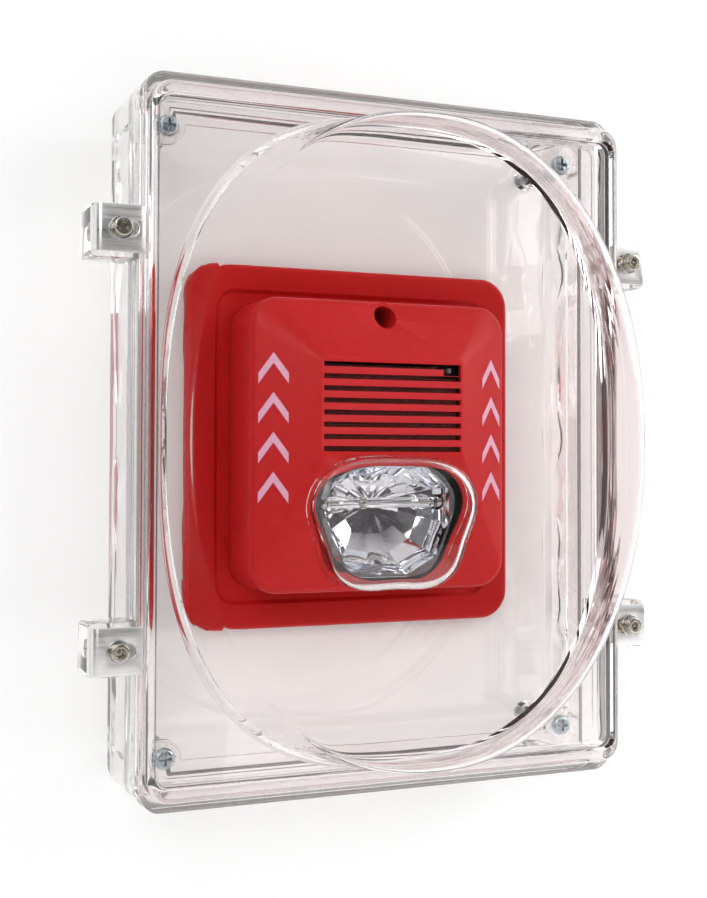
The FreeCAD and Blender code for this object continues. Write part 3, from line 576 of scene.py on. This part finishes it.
# --------------------------------------------------------------- horn and plate
refine("trim_plate", "red_trim_plate", "red_paint", bevel=0.45, segs=3, limit=30.0)
refine("horn_housing", "red_horn_housing", "red_plastic", bevel=0.38, segs=3, limit=22.0, angle=40.0)
refine("strobe_lens", "clear_strobe_lens", "clear_lens", bevel=0.0, angle=28.0)
refine("cable_grommet", "rubber_grommet", "rubber", bevel=0.4, segs=3)
refine("horn_base", "horn_mounting_base", "black_plastic", bevel=0.25)
refine("terminal_block", "screw_terminal_block", "green_plastic", bevel=0.3)
refine("flash_capacitor", "strobe_capacitor", "sleeve", bevel=0.4, segs=3)
refine("trigger_transformer", "trigger_transformer_can", "black_plastic", bevel=0.35)
refine("boost_coil", "boost_coil_winding", "coil", bevel=0.2)
refine("sounder_cup", "sounder_body_cup", "black_plastic", bevel=0.3)
refine("selector_body", "selector_switch_body", "black_plastic", bevel=0.15)
refine("selector_slider", "selector_switch_slider", "grey_plastic", body="selector", bevel=0.12)
refine("circuit_board", "sounder_circuit_board", "board", bevel=0.1)
refine("side_marks", "plain_side_marks", "marks", bevel=0.05, segs=1)

for n, m in {"frame_gasket": "silicone", "cover_gasket": "rubber_seal", "threaded_inserts": "brass", "trim_screws": "zinc",
             "board_screws": "zinc", "terminal_screws": "nickel", "sounder_disc": "disc", "sounder_ring": "black_plastic",
             "disc_clamp_ring": "black_plastic", "tube_end_caps": "nickel", "trigger_band": "nickel"}.items():
    assign(n, m)
    shade(NODES[n].data, 32)


# ------------------------------------------------------------------- reflector
XB, REF_Z = 2.1, -26.0
LENS = [(0, -5.6), (-18, -6.6), (-27, -10), (-33.5, -16.5), (-36, -25), (-31.5, -40), (-25.5, -53.3), (-17.5, -58.3),
        (0, -59.0), (17.5, -58.3), (25.5, -53.3), (31.5, -40), (36, -25), (33.5, -16.5), (27, -10), (18, -6.6)]


def outline(th):
    """Polar radius of the strobe outline about the reflector's centre."""
    pts = np.array([(a, c - REF_Z) for a, c in LENS], float)
    # a smooth closed curve through the points
    n = len(pts)
    dense = []
    for i in range(n):
        p0, p1, p2, p3 = pts[i - 1], pts[i], pts[(i + 1) % n], pts[(i + 2) % n]
        for t in np.linspace(0, 1, 12, endpoint=False):
            dense.append(0.5 * ((2 * p1) + (-p0 + p2) * t + (2 * p0 - 5 * p1 + 4 * p2 - p3) * t * t +
                                (-p0 + 3 * p1 - 3 * p2 + p3) * t ** 3))
    d = np.array(dense)
    an = np.mod(np.arctan2(d[:, 1], d[:, 0]), 2 * math.pi)
    o = np.argsort(an)
    an, rd = an[o], np.hypot(d[:, 0], d[:, 1])[o]
    return np.interp(np.mod(th, 2 * math.pi), np.r_[an[-1] - 2 * math.pi, an, an[0] + 2 * math.pi], np.r_[rd[-1], rd, rd[0]])


def make_reflector():
    # facets: flat strips between radial creases, each strip in several steps
    nf = 13
    sub = 6
    crease = np.linspace(0, 2 * math.pi, nf, endpoint=False) + 0.24
    th = []
    for i in range(nf):
        a, b = crease[i], crease[i] + 2 * math.pi / nf
        th += list(np.linspace(a, b, sub, endpoint=False))
    th = np.array(th)
    base = outline(th)
    # straight chords between creases make each facet flat across
    cb = outline(crease)
    cxy = np.stack([cb * np.cos(crease), cb * np.sin(crease)], 1)
    flat = []
    for i in range(nf):
        p, q = cxy[i], cxy[(i + 1) % nf]
        for j in range(sub):
            flat.append(p + (q - p) * j / sub)
    flat = np.array(flat)
    prof_in = [(-39.55, 0.815), (-38.2, 0.80), (-36.5, 0.775), (-34.4, 0.74), (-32.3, 0.695), (-30.2, 0.63), (-28.4, 0.55),
               (-26.9, 0.45), (-26.0, 0.34), (-25.7, 0.22), (-25.6, 0.08)]
    prof_out = [(-24.9, 0.08), (-24.95, 0.25), (-25.3, 0.37), (-26.2, 0.475), (-27.7, 0.585), (-29.6, 0.67), (-31.8, 0.735),
                (-34.1, 0.78), (-36.3, 0.812), (-38.2, 0.834), (-39.3, 0.845), (-39.6, 0.84)]
    rings = []
    for i, (y, k) in enumerate(prof_in[::-1]):
        # each step is scalloped: its middle stands a little forward of the creases
        ph = np.tile(np.sin(np.linspace(0, math.pi, sub, endpoint=False)), nf)
        bulge = 0.22 * ph * (1 if 0 < i < 10 else 0) * (0.6 + 0.4 * (i % 2))
        p = flat * k * (1 - 0.012 * (i % 2))
        rings.append(np.stack([XB + p[:, 0], y - bulge * 0.8, REF_Z + p[:, 1]], 1) * MM)
    for y, k in prof_out[::-1]:
        p = np.stack([base * np.cos(th), base * np.sin(th)], 1) * k
        rings.append(np.stack([XB + p[:, 0], np.full(len(th), y), REF_Z + p[:, 1]], 1) * MM)
    o = ring_mesh("faceted_reflector", rings, "chrome", angle=9.0)
    # the holes that the tube's ends pass through
    cut = bmesh.new()
    bmesh.ops.create_cone(cut, cap_ends=True, segments=32, radius1=0.003, radius2=0.003, depth=0.08,
                          matrix=Matrix.Translation((XB * MM, -0.034, -0.025)) @ Matrix.Rotation(math.pi / 2, 4, "Y"))
    cm = bpy.data.meshes.new("cut")
    cut.to_mesh(cm)
    cut.free()
    co = bpy.data.objects.new("cut", cm)
    bpy.context.scene.collection.objects.link(co)
    b = o.modifiers.new("b", "BOOLEAN")
    b.operation, b.solver, b.object = "DIFFERENCE", "EXACT", co
    dg = bpy.context.evaluated_depsgraph_get()
    new = bpy.data.meshes.new_from_object(o.evaluated_get(dg))
    o.modifiers.clear()
    o.data = new
    bpy.data.objects.remove(co)
    shade(o.data, 9.0)
    done(o, "base", "chrome", "reflector")


make_reflector()


def lathe_x(name, prof, y, z, mats, n=40, angle=32.0):
    th = np.linspace(0, 2 * math.pi, n, endpoint=False)
    rings = [np.stack([np.full(n, x), y + r * np.cos(th), z + r * np.sin(th)], 1) * MM for x, r in prof]
    return ring_mesh(name, rings, mats, angle=angle)


# glass tube, hollow, drawn in at both ends, with its electrodes inside
X0, X1 = XB - 23.9, XB + 23.9
outer = lathe_x("tube_o", [(X0, 0.35), (X0 + 0.1, 0.9), (X0 + 0.5, 1.6), (X0 + 1.2, 1.92), (X0 + 2.2, 1.99), (X1 - 2.2, 1.99),
                           (X1 - 1.2, 1.92), (X1 - 0.5, 1.6), (X1 - 0.1, 0.9), (X1, 0.35)], -34.0, -25.0, "tube")
inner = lathe_x("tube_i", [(X0 + 1.6, 0.3), (X0 + 1.8, 0.9), (X0 + 2.6, 1.28), (X0 + 3.4, 1.35), (X1 - 3.4, 1.35),
                           (X1 - 2.6, 1.28), (X1 - 1.8, 0.9), (X1 - 1.6, 0.3)], -34.0, -25.0, "tube")
inner.data.flip_normals()
done(join([outer, inner], "xenon_tube_glass"), "base", "tube_glass", "flash_tube")
els = []
for s_ in (-1, 1):
    xa = XB + s_ * 22.2
    pr = [(xa, 0.25), (xa - s_ * 0.3, 0.75), (xa - s_ * 3.6, 0.78), (xa - s_ * 3.8, 0.95), (xa - s_ * 4.6, 0.95),
          (xa - s_ * 4.9, 0.6)]
    els.append(lathe_x("el%d" % s_, pr, -34.0, -25.0, "nickel", n=24))
done(join(els, "tube_electrodes"), "base", "nickel")
# clear stop rings that hold the tube in the reflector
rg = []
for s_, xr in ((-1, XB - 12.5), (1, XB + 15.0)):
    n = 28
    th = np.linspace(0, 2 * math.pi, n, endpoint=False)
    rings = []
    for a in np.linspace(0, 2 * math.pi, 12, endpoint=False):
        rad, xo = 2.65 + 0.55 * math.cos(a), 0.5 * math.sin(a)
        rings.append(np.stack([np.full(n, xr + xo), -34.0 + rad * np.cos(th), -25.0 + rad * np.sin(th)], 1) * MM)
    rg.append(ring_mesh("rg%d" % s_, rings, "tube", caps=False, close=True))
done(join(rg, "tube_stop_rings"), "base", "tube_glass")


# ---------------------------------------------------------------- woven screen
def make_screen():
    lo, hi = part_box("grille_screen")
    x0, x1 = lo.x / MM + 0.3, hi.x / MM - 0.3
    z0, z1 = lo.z / MM + 0.3, hi.z / MM - 0.3
    yc = (lo.y + hi.y) / 2 / MM
    pitch, r = 1.0, 0.3
    bm = bmesh.new()

    def wire(fixed, a, b, along_x, phase, cutoff):
        n = max(4, int(abs(b - a) / (pitch / 2)))
        prev = None
        for i in range(n + 1):
            t = a + (b - a) * i / n
            yy = yc + 0.11 * math.cos(math.pi * (i + phase))
            vs = []
            for k in range(4):
                u = math.radians(90 * k + 45)
                du, dv = r * math.cos(u), r * 0.55 * math.sin(u)
                p = (t, yy + dv, fixed + du) if along_x else (fixed + du, yy + dv, t)
                vs.append(bm.verts.new((p[0] * MM, p[1] * MM, p[2] * MM)))
            if prev:
                for k in range(4):
                    bm.faces.new((prev[k], prev[(k + 1) % 4], vs[(k + 1) % 4], vs[k]))
            else:
                bm.faces.new(vs[::-1])
            prev = vs
        bm.faces.new(prev)

    # the corner by the selector is cut away
    wx, wz = XB + 30.2 - 8.0 - 1.6, 30.6 - 3.6 - 1.2
    i = 0
    x = x0
    while x <= x1:
        wire(x, z0, (wz if x > wx else z1), False, i % 2, None)
        x += pitch
        i += 1
    i = 0
    z = z0
    while z <= z1:
        wire(z, x0, (wx if z > wz else x1), True, (i + 1) % 2, None)
        z += pitch
        i += 1
    bmesh.ops.recalc_face_normals(bm, faces=bm.faces)
    me = bpy.data.meshes.new("woven_grille_screen")
    bm.to_mesh(me)
    bm.free()
    o = link(me, "woven_grille_screen", "cloth")
    shade(me, 60)
    done(o, "base", "black_cloth", "grille_screen")


make_screen()

# ----------------------------------------------------------------- the setting
def plane(name, pts, mat):
    me = bpy.data.meshes.new(name)
    me.from_pydata(pts, [], [tuple(range(len(pts)))])
    o = bpy.data.objects.new(name, me)
    bpy.context.scene.collection.objects.link(o)
    me.materials.append(mat)
    return o


wall = Mat("studio_wall", (0.93, 0.93, 0.93), rough=0.9, spread=0.01, scale=3.0, bump=0.0)
N, L = wall.nt.nodes, wall.nt.links
g = N.new("ShaderNodeNewGeometry")
t = N.new("ShaderNodeBsdfTransparent")
mx = N.new("ShaderNodeMixShader")
L.new(g.outputs["Backfacing"], mx.inputs[0])
L.new(wall.bs.outputs["BSDF"], mx.inputs[1])
L.new(t.outputs["BSDF"], mx.inputs[2])
L.new(mx.outputs[0], wall.out.inputs["Surface"])
wall.bs.inputs["Specular IOR Level"].default_value = 0.1
wall.bs.inputs["Emission Color"].default_value = (1, 1, 1, 1)
wall.bs.inputs["Emission Strength"].default_value = 0.08
plane("studio_backdrop", [(-2.2, 0.0004, -0.40), (2.2, 0.0004, -0.40), (2.2, 0.0004, 2.0), (-2.2, 0.0004, 2.0)], wall.m)
floor = Mat("studio_floor", (0.86, 0.86, 0.86), rough=0.8, spread=0.02, scale=4.0, bump=0.0)
plane("studio_floor", [(-2.2, -2.6, -0.40), (2.2, -2.6, -0.40), (2.2, 0.0004, -0.40), (-2.2, 0.0004, -0.40)], floor.m)


def area(name, loc, target, size, power, size_y=None, color=(1, 1, 1), cam=True):
    l = bpy.data.lights.new(name, "AREA")
    l.shape = "RECTANGLE" if size_y else "SQUARE"
    l.size = size
    if size_y:
        l.size_y = size_y
    l.energy = power
    l.color = color
    o = bpy.data.objects.new(name, l)
    o.location = loc
    d = Vector(target) - Vector(loc)
    o.rotation_euler = d.to_track_quat("-Z", "Y").to_euler()
    bpy.context.scene.collection.objects.link(o)
    return o


area("key", (1.20, -0.75, 0.60), (0, 0, 0), 0.9, 9.2, 0.9)
area("low", (0.50, -0.75, -0.34), (0, 0, 0), 0.7, 0.5, 0.3)
area("front_left", (-0.75, -1.35, 0.55), (0, 0, 0), 0.7, 6.6, 0.7)
area("top_left", (-0.8, -0.45, 1.1), (0, -0.04, 0), 0.5, 2.4, 0.9)
area("strip_right", (1.25, -0.30, 0.10), (0, -0.05, 0), 0.16, 2.0, 1.2)

w = bpy.data.worlds.new("studio")
bpy.context.scene.world = w
w.use_nodes = True
nt = w.node_tree
nt.nodes.clear()
wo = nt.nodes.new("ShaderNodeOutputWorld")
bg = nt.nodes.new("ShaderNodeBackground")
tc = nt.nodes.new("ShaderNodeTexCoord")
sp = nt.nodes.new("ShaderNodeSeparateXYZ")
rp = nt.nodes.new("ShaderNodeValToRGB")
nt.links.new(tc.outputs["Generated"], sp.inputs[0])


def wmath(op, a, b=None):
    n = nt.nodes.new("ShaderNodeMath")
    n.operation = op
    for i, v in enumerate((a, b)):
        if v is None:
            continue
        if isinstance(v, (int, float)):
            n.inputs[i].default_value = v
        else:
            nt.links.new(v, n.inputs[i])
    return n.outputs[0]


# bright above, below and towards the wall; dark on the camera's side and to the left
vz = wmath("ABSOLUTE", sp.outputs["Z"])
vy = wmath("ADD", wmath("MULTIPLY", sp.outputs["Y"], 0.75), 0.42)
vx = wmath("MULTIPLY", wmath("MAXIMUM", sp.outputs["X"], 0.0), 0.12)
vv = wmath("MAXIMUM", vz, wmath("ADD", vy, vx))
nt.links.new(vv, rp.inputs["Fac"])
rp.color_ramp.elements[0].position = 0.12
rp.color_ramp.elements[0].color = (0.09, 0.09, 0.092, 1)
rp.color_ramp.elements[1].position = 0.66
rp.color_ramp.elements[1].color = (1.0, 1.0, 1.0, 1)
e = rp.color_ramp.elements.new(0.38)
e.color = (0.24, 0.24, 0.245, 1)
nt.links.new(rp.outputs["Color"], bg.inputs["Color"])
bg.inputs["Strength"].default_value = 0.84
nt.links.new(bg.outputs[0], wo.inputs["Surface"])

# ------------------------------------------------------------------- camera
yaw, pit, rol = math.radians(23.0825), math.radians(1.5450), math.radians(0.1594)
fwd = Vector((math.sin(yaw) * math.cos(pit), math.cos(yaw) * math.cos(pit), math.sin(pit)))
right = Vector((math.cos(yaw), -math.sin(yaw), 0))
up = right.cross(fwd)
r2 = right * math.cos(rol) + up * math.sin(rol)
u2 = -right * math.sin(rol) + up * math.cos(rol)
cd = bpy.data.cameras.new("camera")
cd.sensor_fit = "VERTICAL"
cd.sensor_height = 36.0
cd.lens = 1353.81 / 898.0 * 36.0
cd.shift_x = (353.5 - 354.90) / 898.0
cd.shift_y = (424.54 - 449.0) / 898.0
cam = bpy.data.objects.new("camera", cd)
rot = Matrix((r2, u2, -fwd)).transposed()
cam.matrix_world = Matrix.Translation((-0.22537, -0.54122, -0.00781)) @ rot.to_4x4()
bpy.context.scene.collection.objects.link(cam)
bpy.context.scene.camera = cam
cd.clip_start = 0.01
cd.clip_end = 50

sc = bpy.context.scene
sc.view_settings.view_transform = "Standard"
sc.view_settings.look = "None"
sc.view_settings.exposure = 0.0
sc.view_settings.gamma = 1.0
sc.cycles.max_bounces = 26
sc.cycles.transmission_bounces = 24
sc.cycles.transparent_max_bounces = 24
sc.cycles.glossy_bounces = 8
sc.cycles.diffuse_bounces = 4
sc.cycles.caustics_reflective = False
sc.cycles.caustics_refractive = True
sc.cycles.sample_clamp_indirect = 6.0
sc.cycles.use_denoising = True
sc.cycles.denoiser = "OPENIMAGEDENOISE"
